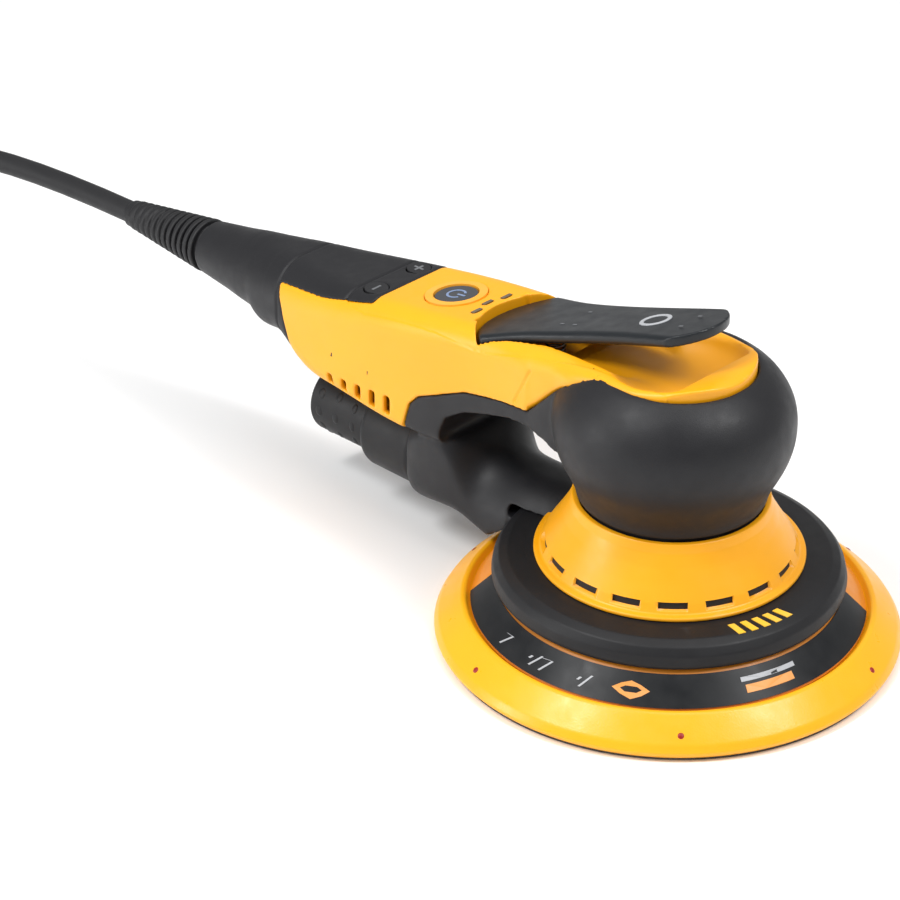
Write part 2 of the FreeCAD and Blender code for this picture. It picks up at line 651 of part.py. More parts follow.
def handle():
    outer = form("handle")
    inner = form("handle", size("wall"))
    reach = lever_recess(size("recess_wall"))
    hollow = inner.cut(reach)
    trimmed = outer.cut(lever_recess(0))
    yellow = trimmed.cut(hollow).common(side_prism("yellow_side"))
    yellow = yellow.cut(button_hole(size("ring_radius") + 0.02))
    yellow = yellow.cut(Part.makeCompound(vent_slots()))
    yellow = yellow.cut(Part.makeCompound(lamp_blocks(0.02)))
    yellow = yellow.cut(Part.makeCompound(speed_holes(size("speed_radius") + size("part_gap"))))
    feature("handle_shell", largest(yellow))
    rear = outer.cut(inner).common(side_prism("black_rear"))
    rear = rear.cut(Part.makeCompound(speed_holes(size("speed_radius") + size("part_gap"))))
    feature("rear_grip", largest(rear))
    web = outer.common(side_prism("black_web"))
    web = web.cut(inner.common(side_prism("web_pocket")))
    web = web.cut(full_bulb()).cut(cover_blank())
    feature("handle_web", largest(web))


def full_bulb():
    """Everything inside the palm grip's outer face."""
    rows = outline("grip_curve")
    return bulb([(0, rows[-1][1]), (0, rows[0][1])])


def largest(shape):
    """The main solid of a cut, without crumbs."""
    return max(shape.Solids, key=lambda solid: solid.Volume)


def exhaust_duct():
    """Dust duct from the skirt back to the hose neck, under the finger gap."""
    outer = form("duct")
    outer = outer.cut(block((-110, -40, size("seam_floor")), (-81.5, 40, 60)))
    outer = outer.cut(rod(57, (0, 0, -1), (0, 0, 29.3)))
    outer = outer.cut(Part.makeCone(45.8, 33.5, 24, V(0, 0, 27)))
    outer = outer.cut(Part.makeCone(68, 55, 10.5, V(0, 0, 12.6)))
    neck = rod(size("hose_neck_radius"), (size("duct_rear") + 3, 0, size("hose_z")),
               (size("hose_neck_end"), 0, size("hose_z")))
    outer = outer.fuse(neck)
    bore = rod(size("hose_neck_bore"), (size("duct_rear") + 16, 0, size("hose_z")),
               (size("hose_neck_end") - 1, 0, size("hose_z")))
    shape = outer.cut(bore).cut(form("duct", size("wall") + 0.4, 1, 6))
    feature("exhaust_duct", largest(shape))


# ---------------------------------------------------------------- controls
def lever_plan():
    """Lever's outline seen from above: arc at the rear, rounded nose."""
    rear = [V(x, y, 0) for x, y in outline("lever_rear")]
    front = [V(x, y, 0) for x, y in outline("lever_front")]
    side = size("lever_half_1") + 3
    corners = [rear[2], V(rear[2].x, side, 0), V(front[0].x, side, 0), front[0]]
    edges = [Part.Arc(*rear).toShape(), Part.Arc(*front).toShape()]
    for a, b in zip(corners, corners[1:]):
        edges.append(Part.LineSegment(a, b).toShape())
        edges.append(Part.LineSegment(V(a.x, -a.y, 0), V(b.x, -b.y, 0)).toShape())
    return Part.Face(Part.Wire(Part.__sortEdges__(edges)))


def lever():
    plan = lever_plan().extrude(V(0, 0, 60))
    plan.translate(V(0, 0, 70))
    paddle = form("lever").common(plan)
    pivot = V(size("lever_pivot_x"), 0, size("lever_pivot_z"))
    half = size("lever_block_half")
    lug = block((pivot.x - 4, -half, pivot.z - 3.4), (pivot.x + 4, half, size("lever_lug_top")))
    bore = rod(size("lever_pin_radius") + size("running_gap"), (pivot.x, -20, pivot.z),
               (pivot.x, 20, pivot.z))
    feature("lever_paddle", paddle.fuse(lug).cut(bore).removeSplitter())
    feature("lever_pin", rod(size("lever_pin_radius"), (pivot.x, -size("lever_pin_half"), pivot.z),
                             (pivot.x, size("lever_pin_half"), pivot.z)))
    ears = []
    for side in (-1, 1):
        y_near = side * (half + 0.3)
        y_far = side * size("lever_pin_half")
        ear = block((pivot.x - 4, min(y_near, y_far), pivot.z - 5.5),
                    (pivot.x + 4, max(y_near, y_far), pivot.z + 2.2))
        ears.append(ear.cut(rod(size("lever_pin_radius") + 0.01, (pivot.x, -20, pivot.z),
                                (pivot.x, 20, pivot.z))))
    feature("lever_bracket", Part.makeCompound(ears))
    lever_spring()


def lever_spring():
    """Coil spring between the recess's floor and the lever's underside."""
    radius = size("spring_radius")
    helix = Part.makeHelix(size("spring_pitch"), size("spring_tall"), radius)
    profile = Part.Wire(Part.makeCircle(size("spring_wire"), V(radius, 0, 0), V(0, 1, 0)))
    coil = Part.Wire(helix).makePipeShell([profile], True, True)
    coil.translate(V(size("spring_x"), 0, size("spring_z")))
    feature("lever_spring", coil)


def buttons():
    button_place = FreeCAD.Placement(V(size("button_x"), 0, size("button_z")),
                                     FreeCAD.Rotation(V(0, 1, 0), size("button_tilt")))
    top = 0.5
    cap = rod(size("button_radius"), (0, 0, top - size("button_tall")), (0, 0, top))
    cap = cap.makeFillet(0.6, [edge for edge in cap.Edges if abs(edge.BoundBox.ZMin - top) < 0.01
                               and edge.BoundBox.ZLength < 0.01])
    feature("power_button", cap, button_place)
    ring_low = size("ring_proud") - size("ring_tall")
    ring = rod(size("ring_radius"), (0, 0, ring_low), (0, 0, size("ring_proud")))
    ring = ring.cut(rod(size("button_radius") + size("part_gap"), (0, 0, -9), (0, 0, 9)))
    feature("button_ring", ring, button_place)
    names = {-1: "speed_down_button", 1: "speed_up_button"}
    for side, label in names.items():
        low = size("speed_z") - size("speed_tall")
        key = rod(size("speed_radius"), (0, 0, low), (0, 0, size("speed_z")))
        feature(label, key, at(size("speed_x"), side * size("speed_y")))
    feature("status_lamps", Part.makeCompound(lamp_blocks(0)).common(form("handle")))


# ---------------------------------------------------------------- inside the handle
def electronics():
    board = block((-150, -14, 58), (-92, 14, 59.6))
    feature("control_board", board)
    cans = [rod(6.0, (x, 5, 59.7), (x, 5, 73)) for x in (-140, -126)]
    feature("capacitors", Part.makeCompound(cans))
    feature("power_switch", block((-100, -6, 66), (-88, 6, 79.5)).cut(
        block((-101, -7, 79.0), (-87, 7, 80))))
    pads = [block((-124.5, side * 10 - 3, 73), (-117.5, side * 10 + 3, 78.8))
            for side in (-1, 1)]
    feature("speed_switches", Part.makeCompound(pads))
    feature("lever_sensor", block((-56, -4, 74), (-48, 4, 77)))
    leads = []
    for side in (-1, 1):
        start = tail_place().multVec(V(-194, side * 2.2, 0))
        bend = [start, V(-172, side * 3, 62), V(-151, side * 8, 60.9)]
        edges = [Part.LineSegment(a, b).toShape() for a, b in zip(bend, bend[1:])]
        first = Part.makeCylinder(1.3, edges[0].Length, bend[0], bend[1] - bend[0])
        ball = Part.makeSphere(1.3, bend[1])
        second = Part.makeCylinder(1.3, edges[1].Length, bend[1], bend[2] - bend[1])
        leads.append(first.fuse(ball).fuse(second))
    feature("supply_leads", Part.makeCompound(leads))


# ---------------------------------------------------------------- hose fitting and cord
def hose_fitting():
    place = at(z=size("hose_z"))
    turned("hose_collar", "hose_collar", place, along_x=True)
    turned("hose_spigot", "spigot", place, along_x=True)


def tail_place():
    """The handle's tail, whose axis droops a little from the grip's end."""
    return FreeCAD.Placement(V(0, 0, size("tail_z")),
                             FreeCAD.Rotation(V(0, 1, 0), size("tail_tilt")),
                             V(size("tail_x"), 0, 0))


def strain_relief():
    """Tapered sleeve with a row of ribs."""
    start, end = size("relief_start"), size("relief_end")
    count = int(size("rib_count"))
    pitch = (start - end - 4) / count
    sleeve = Part.makeCone(7.6, 4.9, start - end, V(start, 0, 0), V(-1, 0, 0))
    for i in range(count):
        x = start - 2 - i * pitch
        radius = size("rib_radius") - size("rib_taper") * i / (count - 1)
        sleeve = sleeve.fuse(rod(radius, (x, 0, 0), (x - pitch * 0.58, 0, 0)))
    sleeve = sleeve.fuse(rod(6.9, (start + 5.8, 0, 0), (start, 0, 0)))
    bore = rod(size("cord_diameter") / 2 + 0.02, (start + 9, 0, 0), (end - 1, 0, 0))
    feature("strain_relief", sleeve.cut(bore).removeSplitter(), tail_place())
    clamp = rod(6.8, (-205.4, 0, 0), (-197, 0, 0)).cut(rod(4.02, (-210, 0, 0), (-190, 0, 0)))
    clamp = clamp.cut(block((-210, -8, -0.4), (-190, 8, 0.4)))
    feature("cord_clamp", clamp, tail_place())


def cord_path():
    """Straight runs joined by tangent arcs, each as large as its runs allow."""
    points = [V(*point) for point in CORD_ROUTE]
    edges = []
    start = points[0]
    for before, corner, after in zip(points, points[1:], points[2:]):
        into = (corner - before).normalize()
        out = (after - corner).normalize()
        half_turn = into.getAngle(out) / 2
        reach = 0.45 * min((corner - before).Length, (after - corner).Length)
        radius = reach / math.tan(half_turn)
        print("cord arc radius %.0f mm, turn %.0f degrees" % (radius, math.degrees(2 * half_turn)))
        first = corner - into * reach
        last = corner + out * reach
        inward = (out - into).normalize()
        middle = corner + inward * (radius / math.cos(half_turn) - radius)
        edges.append(Part.LineSegment(start, first).toShape())
        edges.append(Part.Arc(first, middle, last).toShape())
        start = last
    edges.append(Part.LineSegment(start, points[-1]).toShape())
    return Part.Wire(edges)


def cord():
    path = cord_path()
    radius = size("cord_diameter") / 2
    first = path.Edges[0]
    profile = Part.Wire(Part.makeCircle(radius, first.valueAt(first.FirstParameter), V(-1, 0, 0)))
    tube = path.makePipeShell([profile], True, False)
    expected = math.pi * radius ** 2 * path.Length
    print("cord length %.0f mm, volume ratio %.4f" % (path.Length, tube.Volume / expected))
    feature("cord", tube)
    inside = rod(radius, (-194.2, 0, 0), (size("relief_end") + 0.13, 0, 0))
    feature("cord_inner_end", inside, tail_place())
    centre = (size("coil_x"), size("coil_y"))
    ring = rod(size("coil_outer"), (*centre, 0), (*centre, size("coil_tall")))
    ring = ring.cut(rod(size("coil_inner"), (*centre, -1), (*centre, 40)))
    feature("cord_coil", ring)


def plug():
    """Flat two-pin mains plug lying on the coil."""
    place = FreeCAD.Placement(
        V(size("coil_x") + size("plug_shift_x"), size("coil_y") + size("plug_shift_y"),
          size("plug_lift")),
        FreeCAD.Rotation(V(0, 0, 1), size("plug_turn")))
    feature("plug_body", form("plug"), place)
    pins = []
    for side in (-1, 1):
        y = side * size("plug_pin_half")
        pins.append(rod(size("plug_pin_radius"), (22, y, size("plug_pin_z")),
                        (22 + size("plug_pin_long"), y, size("plug_pin_z"))))
    feature("plug_pins", Part.makeCompound(pins), place)


# ---------------------------------------------------------------- build and write
def check(item):
    if "Invalid" in item.State or "Error" in item.State:
        raise RuntimeError("failed: %s %s" % (item.Label, item.State))
    if hasattr(item, "Shape") and item in parts:
        if item.Shape.isNull() or not item.Shape.isValid() or not item.Shape.Solids:
            raise RuntimeError("bad shape: %s" % item.Label)


def write_parts():
    os.makedirs("parts", exist_ok=True)
    for item in parts:
        item.Shape.exportStep("parts/%s.step" % item.Label)
        print("%-20s %8.0f mm3 %d solid(s)" % (item.Label, item.Shape.Volume,
                                              len(item.Shape.Solids)))


def main():
    fill_sheet()
    pad()
    spindle()
    head()
    palm_grip()
    top_cover()
    handle()
    exhaust_duct()
    lever()
    buttons()
    electronics()
    turned("rear_cone", "rear_cone", tail_place(), along_x=True)
    hose_fitting()
    strain_relief()
    cord()
    plug()
    doc.recompute()
    for item in doc.Objects:
        check(item)
    write_parts()
    print("%d nodes" % len(parts))


main()
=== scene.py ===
"""Looks of the orbital sander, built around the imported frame. Metres."""
import math

import bpy
import bmesh
from mathutils import Matrix, Vector


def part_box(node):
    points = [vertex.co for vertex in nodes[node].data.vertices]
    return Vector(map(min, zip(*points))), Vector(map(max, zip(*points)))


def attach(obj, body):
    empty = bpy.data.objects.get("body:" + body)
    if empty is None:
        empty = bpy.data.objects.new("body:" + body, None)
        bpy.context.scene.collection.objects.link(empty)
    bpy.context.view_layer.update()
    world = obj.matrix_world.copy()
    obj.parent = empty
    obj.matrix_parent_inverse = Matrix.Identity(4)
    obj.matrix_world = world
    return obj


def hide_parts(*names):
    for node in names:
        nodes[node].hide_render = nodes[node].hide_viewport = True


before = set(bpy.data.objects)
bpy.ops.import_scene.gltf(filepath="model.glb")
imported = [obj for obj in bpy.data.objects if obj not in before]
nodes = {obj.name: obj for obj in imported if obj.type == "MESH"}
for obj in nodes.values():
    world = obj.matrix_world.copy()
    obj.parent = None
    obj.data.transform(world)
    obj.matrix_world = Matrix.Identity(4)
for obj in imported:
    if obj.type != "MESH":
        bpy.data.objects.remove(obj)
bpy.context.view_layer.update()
MM = 0.001
scene = bpy.context.scene

# ---------------------------------------------------------------- camera, floor and light
CAMERA_PLACE = (0.56924, -0.68989, 0.58277)
CAMERA_AZIMUTH = 44.0
CAMERA_ELEVATION = 30.12
CAMERA_LENS = 132.0
CAMERA_SENSOR = 36.0
FLOOR_HALF = 8.0
FLOOR_GREY = 0.97
# name, place, aim, width, height, watts
SOFT_BOXES = [("key_left", (-0.24, -0.65, 0.98), (0, 0, 0.03), 0.22, 0.4, 6.5),
              ("key_right", (0.65, 0.22, 0.98), (0, 0, 0.03), 0.22, 0.4, 6.5),
              ("low_left", (-0.75, -1.1, 0.35), (-0.03, 0, 0.06), 0.3, 0.6, 5),
              ("overhead", (-0.1, 0.15, 1.5), (-0.1, 0, 0), 1.1, 0.9, 6)]
WORLD_STRENGTH = 0.44


def link(name, data):
    item = bpy.data.objects.new(name, data)
    scene.collection.objects.link(item)
    return item


def camera():
    data = bpy.data.cameras.new("camera")
    data.lens = CAMERA_LENS
    data.sensor_width = CAMERA_SENSOR
    data.clip_start = 0.05
    data.clip_end = 20.0
    item = link("camera", data)
    item.location = CAMERA_PLACE
    item.rotation_euler = (math.radians(90 - CAMERA_ELEVATION), 0, math.radians(CAMERA_AZIMUTH))
    scene.camera = item


def studio():
    """Pale floor, even surround and soft boxes."""
    mesh = bpy.data.meshes.new("floor")
    corners = [(x * FLOOR_HALF, y * FLOOR_HALF, 0)
               for x, y in ((-1, -1), (1, -1), (1, 1), (-1, 1))]
    mesh.from_pydata(corners, [], [(0, 1, 2, 3)])
    floor = link("floor", mesh)
    paint = bpy.data.materials.new("floor_paint")
    paint.use_nodes = True
    shader = paint.node_tree.nodes["Principled BSDF"]
    shader.inputs["Base Color"].default_value = (FLOOR_GREY, FLOOR_GREY, FLOOR_GREY, 1)
    shader.inputs["Roughness"].default_value = 0.7
    mesh.materials.append(paint)
    world = bpy.data.worlds.new("studio")
    scene.world = world
    world.use_nodes = True
    background = world.node_tree.nodes["Background"]
    background.inputs[0].default_value = (1, 1, 1, 1)
    background.inputs[1].default_value = WORLD_STRENGTH
    for name, place, aim, width, height, watts in SOFT_BOXES:
        light = bpy.data.lights.new(name, "AREA")
        light.shape = "RECTANGLE"
        light.size = width
        light.size_y = height
        light.energy = watts
        item = link(name, light)
        item.location = place
        item.rotation_euler = (Vector(aim) - Vector(place)).to_track_quat("-Z", "Y").to_euler()
    scene.view_settings.view_transform = "Standard"


# ---------------------------------------------------------------- materials
def linear(red, green, blue):
    """Linear colour from 8-bit screen values."""
    def one(value):
        share = value / 255
        return share / 12.92 if share <= 0.04045 else ((share + 0.055) / 1.055) ** 2.4
    return (one(red), one(green), one(blue), 1.0)


def shade(colour, factor):
    return tuple(min(1.0, channel * factor) for channel in colour[:3]) + (1.0,)


def noise(tree, place, size, detail=3.0):
    """Noise texture whose features are about `size` metres across."""
    texture = tree.nodes.new("ShaderNodeTexNoise")
    texture.inputs["Scale"].default_value = 1.0 / size
    texture.inputs["Detail"].default_value = detail
    tree.links.new(place, texture.inputs["Vector"])
    return texture.outputs["Fac"]


def remap(tree, value, low, high, from_low=0.3, from_high=0.7):
    item = tree.nodes.new("ShaderNodeMapRange")
    for name, number in (("From Min", from_low), ("From Max", from_high), ("To Min", low),
                         ("To Max", high)):
        item.inputs[name].default_value = number
    tree.links.new(value, item.inputs["Value"])
    return item.outputs["Result"]


def mix(tree, factor, first, second):
    """Blend of two colours, each given as a colour or as a socket."""
    item = tree.nodes.new("ShaderNodeMix")
    item.data_type = "RGBA"
    tree.links.new(factor, item.inputs["Factor"])
    for socket, colour in ((item.inputs[6], first), (item.inputs[7], second)):
        if isinstance(colour, tuple):
            socket.default_value = colour
        else:
            tree.links.new(colour, socket)
    return item.outputs[2]


CLOUD_SIZE = 0.03
SCUFF_SIZE = 0.006
WEAVE_SIZE = 0.0009
BUMP_HEIGHT = 0.0002
STREAK_STRETCH = 14


def coated(name, colour, rough, grain=0.0004, depth=0.12, mottle=0.05, wear=0.2, metal=0.0,
           coat=0.0, specular=0.5, streak=False, weave=False):
    """Moulded or machined surface: fine grain, uneven gloss, faint mottling, rubbed edges."""
    material = bpy.data.materials.new(name)
    material.use_nodes = True
    tree = material.node_tree
    shader = tree.nodes["Principled BSDF"]
    place = tree.nodes.new("ShaderNodeTexCoord").outputs["Object"]
    if streak:
        stretch = tree.nodes.new("ShaderNodeMapping")
        stretch.inputs["Scale"].default_value = (1, 1, STREAK_STRETCH)
        tree.links.new(place, stretch.inputs["Vector"])
        place = stretch.outputs["Vector"]
    fine = noise(tree, place, grain)
    cloudy = noise(tree, place, CLOUD_SIZE, 4)
    scuffs = noise(tree, place, SCUFF_SIZE, 6)
    body = mix(tree, remap(tree, cloudy, 0, 1), shade(colour, 1 - mottle),
               shade(colour, 1 + mottle))
    if weave:
        loops = tree.nodes.new("ShaderNodeTexVoronoi")
        loops.inputs["Scale"].default_value = 1 / WEAVE_SIZE
        tree.links.new(place, loops.inputs["Vector"])
        fine = loops.outputs["Distance"]
        body = mix(tree, remap(tree, fine, 0, 1, 0.0, 0.6), shade(colour, 1.6), shade(colour, 0.6))
    edge = tree.nodes.new("ShaderNodeNewGeometry").outputs["Pointiness"]
    rubbed = tree.nodes.new("ShaderNodeMath")
    rubbed.operation = "MULTIPLY"
    tree.links.new(remap(tree, edge, 0, wear, 0.52, 0.62), rubbed.inputs[0])
    tree.links.new(remap(tree, scuffs, 0.2, 1), rubbed.inputs[1])
    worn = mix(tree, rubbed.outputs[0], body, shade(colour, 1.5) if metal else
               tuple(0.6 * channel + 0.25 for channel in colour[:3]) + (1.0,))
    tree.links.new(worn, shader.inputs["Base Color"])
    tree.links.new(remap(tree, scuffs, rough - 0.05, rough + 0.07), shader.inputs["Roughness"])
    bump = tree.nodes.new("ShaderNodeBump")
    bump.inputs["Strength"].default_value = depth
    bump.inputs["Distance"].default_value = BUMP_HEIGHT
    tree.links.new(fine, bump.inputs["Height"])
    tree.links.new(bump.outputs["Normal"], shader.inputs["Normal"])
    shader.inputs["Metallic"].default_value = metal
    shader.inputs["Coat Weight"].default_value = coat
    shader.inputs["Coat Roughness"].default_value = 0.08
    shader.inputs["Specular IOR Level"].default_value = specular
    return material


FINISHES = {
    "yellow_plastic": coated("yellow_plastic", linear(250, 171, 14), 0.36, mottle=0.03),
    "pad_orange": coated("pad_orange", linear(226, 138, 36), 0.42, mottle=0.05),
    "pad_foam_yellow": coated("pad_foam_yellow", linear(250, 176, 18), 0.32, grain=0.0006,
                              depth=0.2, mottle=0.03),
    "black_plastic": coated("black_plastic", linear(27, 27, 29), 0.46, depth=0.2,
                            wear=0.08, specular=0.3),
    "grip_rubber": coated("grip_rubber", linear(27, 27, 30), 0.47, grain=0.0003, depth=0.25,
                          wear=0.05, specular=0.35),
    "lever_plastic": coated("lever_plastic", linear(22, 26, 30), 0.36, depth=0.1, wear=0.1,
                            specular=0.35, coat=0.05),
    "label_print": coated("label_print", linear(18, 20, 23), 0.38, depth=0.05, wear=0.05,
                          specular=0.3),
    "hook_fabric": coated("hook_fabric", linear(60, 60, 62), 0.9, weave=True, depth=0.8),
    "button_gloss": coated("button_gloss", linear(20, 24, 34), 0.12, depth=0.02, coat=0.8),
    "lamp_smoke": coated("lamp_smoke", linear(92, 74, 40), 0.2, depth=0.03, coat=0.5),
    "red_plastic": coated("red_plastic", linear(150, 18, 14), 0.4),
    "steel": coated("steel", linear(170, 172, 176), 0.3, metal=1.0, streak=True),
    "aluminium": coated("aluminium", linear(190, 192, 196), 0.38, metal=1.0, depth=0.2),
    "laminations": coated("laminations", linear(110, 112, 118), 0.45, metal=0.9, streak=True),
    "copper": coated("copper", linear(184, 104, 60), 0.32, metal=1.0, streak=True),
    "board_green": coated("board_green", linear(24, 92, 48), 0.35, coat=0.3),
    "grey_plastic": coated("grey_plastic", linear(96, 98, 102), 0.45),
    "cord_rubber": coated("cord_rubber", linear(30, 30, 32), 0.5, grain=0.0005, depth=0.3,
                          wear=0.05, specular=0.35),
    "brass_pins": coated("brass_pins", linear(196, 168, 96), 0.25, metal=1.0, streak=True),
}
MARK_GREY = coated("mark_grey", linear(168, 170, 174), 0.45, depth=0.05)
MARK_YELLOW = coated("mark_yellow", linear(250, 192, 30), 0.4, depth=0.05)
MARK_ORANGE = coated("mark_orange", linear(226, 148, 60), 0.4, depth=0.05)
MARK_BLUE = coated("mark_blue", linear(120, 140, 176), 0.3, depth=0.05)
# Near-black finish: painted shade for the dark inside seen through the collar's slots.
PAINTED_SLOT_SHADE = coated("painted_slot_shade", linear(18, 18, 19), 0.6)


def paint_cad_nodes():
    """Give each carried CAD node the finish of its material slot."""
    for name, item in nodes.items():
        for place in item.material_slots:
            slot = place.material.name.split(".")[0]
            place.material = FINISHES[slot]


# ---------------------------------------------------------------- mesh helpers
def piece(name, mesh, body, slot, stands_for=(), material=None, smooth=True):
    mesh.materials.clear()
    mesh.materials.append(material or FINISHES[slot])
    for polygon in mesh.polygons:
        polygon.use_smooth = smooth
    item = link(name, mesh)
    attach(item, body)
    if stands_for:
        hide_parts(*stands_for)
    return item


def evaluated(item, name):
    """Mesh of an object after its modifiers; the object itself is removed."""
    graph = bpy.context.evaluated_depsgraph_get()
    mesh = bpy.data.meshes.new_from_object(item.evaluated_get(graph))
    mesh.name = name
    bpy.data.objects.remove(item)
    return mesh


def relax(mesh, inside, rounds):
    """Even out the vertices for which `inside` is true, keeping the rest where they are."""
    work = bmesh.new()
    work.from_mesh(mesh)
    chosen = [vertex for vertex in work.verts if inside(vertex.co)]
    for _ in range(rounds):
        bmesh.ops.smooth_vert(work, verts=chosen, factor=0.5, use_axis_x=True, use_axis_y=True,
                              use_axis_z=True)
    work.to_mesh(mesh)
    work.free()


def softened(name, sources, voxel, rounds, shape=None, block=None):
    """Copies of CAD solids, and one more block, run into one skin with rounded edges."""
    work = bmesh.new()
    for source in sources:
        work.from_mesh(nodes[source].data)
    bmesh.ops.remove_doubles(work, verts=work.verts, dist=1e-6)
    if block:
        centre, size = block
        bmesh.ops.create_cube(work, size=1.0, matrix=Matrix.Translation(Vector(centre) * MM)
                              @ Matrix.Diagonal((*[side * MM for side in size], 1)))
    mesh = bpy.data.meshes.new(name)
    work.to_mesh(mesh)
    work.free()
    item = link(name, mesh)
    remesh = item.modifiers.new("skin", "REMESH")
    remesh.mode = "VOXEL"
    remesh.voxel_size = voxel
    remesh.use_smooth_shade = True
    relax = item.modifiers.new("round", "SMOOTH")
    relax.factor = 0.5
    relax.iterations = rounds
    mesh = evaluated(item, name)
    if shape:
        normals = [vertex.normal.copy() for vertex in mesh.vertices]
        for vertex, normal in zip(mesh.vertices, normals):
            vertex.co += normal * shape(vertex.co)
    return mesh


def fillet(points, radius):
    """Outline with each corner rounded as far as its neighbours allow."""
    result = []
    count = len(points)
    for index, point in enumerate(points):
        here = Vector(point)
        before = Vector(points[index - 1]) - here
        after = Vector(points[(index + 1) % count]) - here
        reach = min(radius, before.length * 0.45, after.length * 0.45)
        start = here + before.normalized() * reach
        end = here + after.normalized() * reach
        for step in range(5):
            t = step / 4
            result.append(start * (1 - t) ** 2 + here * 2 * t * (1 - t) + end * t ** 2)
    return result


def lathe(name, outline, radius=0.5, segments=192, centre=(0, 0), along_x=False, wave=None):
    """Closed outline in millimetres turned about Z, or about X for the tail and hose."""
    ring = fillet(outline, radius)
    work = bmesh.new()
    rows = []
    for step in range(segments):
        angle = 2 * math.pi * step / segments
        row = []
        for first, second in ring:
            if along_x:
                reach = second + (wave(first, angle) if wave else 0)
                place = (first, reach * math.cos(angle), reach * math.sin(angle))
            else:
                reach = first + (wave(second, angle) if wave else 0)
                place = (centre[0] + reach * math.cos(angle),
                         centre[1] + reach * math.sin(angle), second)
            row.append(work.verts.new(Vector(place) * MM))
        rows.append(row)
    count = len(ring)
    for step in range(segments):
        here, there = rows[step], rows[(step + 1) % segments]
        for index in range(count):
            after = (index + 1) % count
            work.faces.new((here[index], here[after], there[after], there[index]))
    bmesh.ops.recalc_face_normals(work, faces=work.faces)
    mesh = bpy.data.meshes.new(name)
    work.to_mesh(mesh)
    work.free()
    return mesh


def box_mesh(name, boxes):
    """Boxes given as (centre, size, turn about Z in degrees), used as cutters."""
    work = bmesh.new()
    for centre, size, turn in boxes:
        place = Matrix.Rotation(math.radians(turn), 4, "Z") @ Matrix.Translation(
            Vector(centre) * MM) @ Matrix.Diagonal((*[side * MM for side in size], 1))
        bmesh.ops.create_cube(work, size=1.0, matrix=place)
    mesh = bpy.data.meshes.new(name)
    work.to_mesh(mesh)
    work.free()
    return mesh


def cut(mesh, cutter, name):
    """Difference of two meshes."""
    item = link(name, mesh)
    tool = link("%s_tool" % name, cutter)
    step = item.modifiers.new("cut", "BOOLEAN")
    step.operation = "DIFFERENCE"
    step.object = tool
    step.solver = "EXACT"
    result = evaluated(item, name)
    bpy.data.objects.remove(tool)
    return result


def sheet_on(name, outlines, surface, thick=0.12):
    """Thin raised marks: each outline (u, v) is laid on a surface and given a thickness."""
    work = bmesh.new()
    for outline in outlines:
        low, high = [], []
        for u, v in outline:
            place, normal = surface(u, v)
            low.append(work.verts.new((place - normal * 0.05) * MM))
            high.append(work.verts.new((place + normal * thick) * MM))
        count = len(outline)
        work.faces.new(high)
        work.faces.new(low[::-1])
        for index in range(count):
            after = (index + 1) % count
            work.faces.new((low[index], low[after], high[after], high[index]))
    bmesh.ops.recalc_face_normals(work, faces=work.faces)
    mesh = bpy.data.meshes.new(name)
    work.to_mesh(mesh)
    work.free()
    return mesh


# ---------------------------------------------------------------- pad
PAD_CENTRE = (0.87, -0.90)
FOAM = [(9, 0.8), (73.3, 0.8), (74.9, 2.6), (74.9, 3.4), (73.6, 5.6), (66.2, 12.3), (64.8, 12.5),
        (63.5, 10.7), (60, 9.05), (9, 9.05)]
PLATE = [(5, 9), (60, 9), (63.35, 10.9), (54, 20), (24, 20), (20, 14), (5, 14)]
HOLE_RINGS = ((26.0, 8), (48.0, 16))
BUSH_COUNT = 6
BUSH_START = 14.0
BUSH_CIRCLE = 71.2
BUSH_HEIGHT = 7.5
BUSH_RADIUS = 1.1


def dust_holes():
    work = bmesh.new()
    for reach, count in HOLE_RINGS:
        for step in range(count):
            angle = 2 * math.pi * step / count
            centre = Vector((PAD_CENTRE[0] + reach * math.cos(angle),
                             PAD_CENTRE[1] + reach * math.sin(angle), 10)) * MM
            bmesh.ops.create_cone(work, cap_ends=True, segments=24, radius1=3 * MM,
                                  radius2=3 * MM, depth=30 * MM,
                                  matrix=Matrix.Translation(centre))
    mesh = bpy.data.meshes.new("dust_holes")
    work.to_mesh(mesh)
    work.free()
    return mesh


def on_label(azimuth, share):
    """Point on the printed cone: azimuth in degrees, share 0 outside to 1 inside."""
    reach = 63.3 - 7.7 * share
    height = 12.05 + 7.45 * share
    angle = math.radians(azimuth)
    out = Vector((math.cos(angle), math.sin(angle), 0))
    centre = Vector((PAD_CENTRE[0], PAD_CENTRE[1], 0))
    return centre + out * reach + Vector((0, 0, height)), (out * 0.7 + Vector((0, 0, 0.7)))


def stroke(u0, v0, u1, v1, wide):
    """Straight stroke as a four-sided outline on a (u, v) surface."""
    du, dv = u1 - u0, v1 - v0
    return [(u0 - wide, v0), (u0 + wide, v0), (u0 + du + wide, v0 + dv), (u0 + du - wide, v0 + dv)]


def bent_quad(u0, u1, v0, v1, steps=8):
    lower = [(u0 + (u1 - u0) * i / steps, v0) for i in range(steps + 1)]
    upper = [(u1 + (u0 - u1) * i / steps, v1) for i in range(steps + 1)]
    return lower + upper


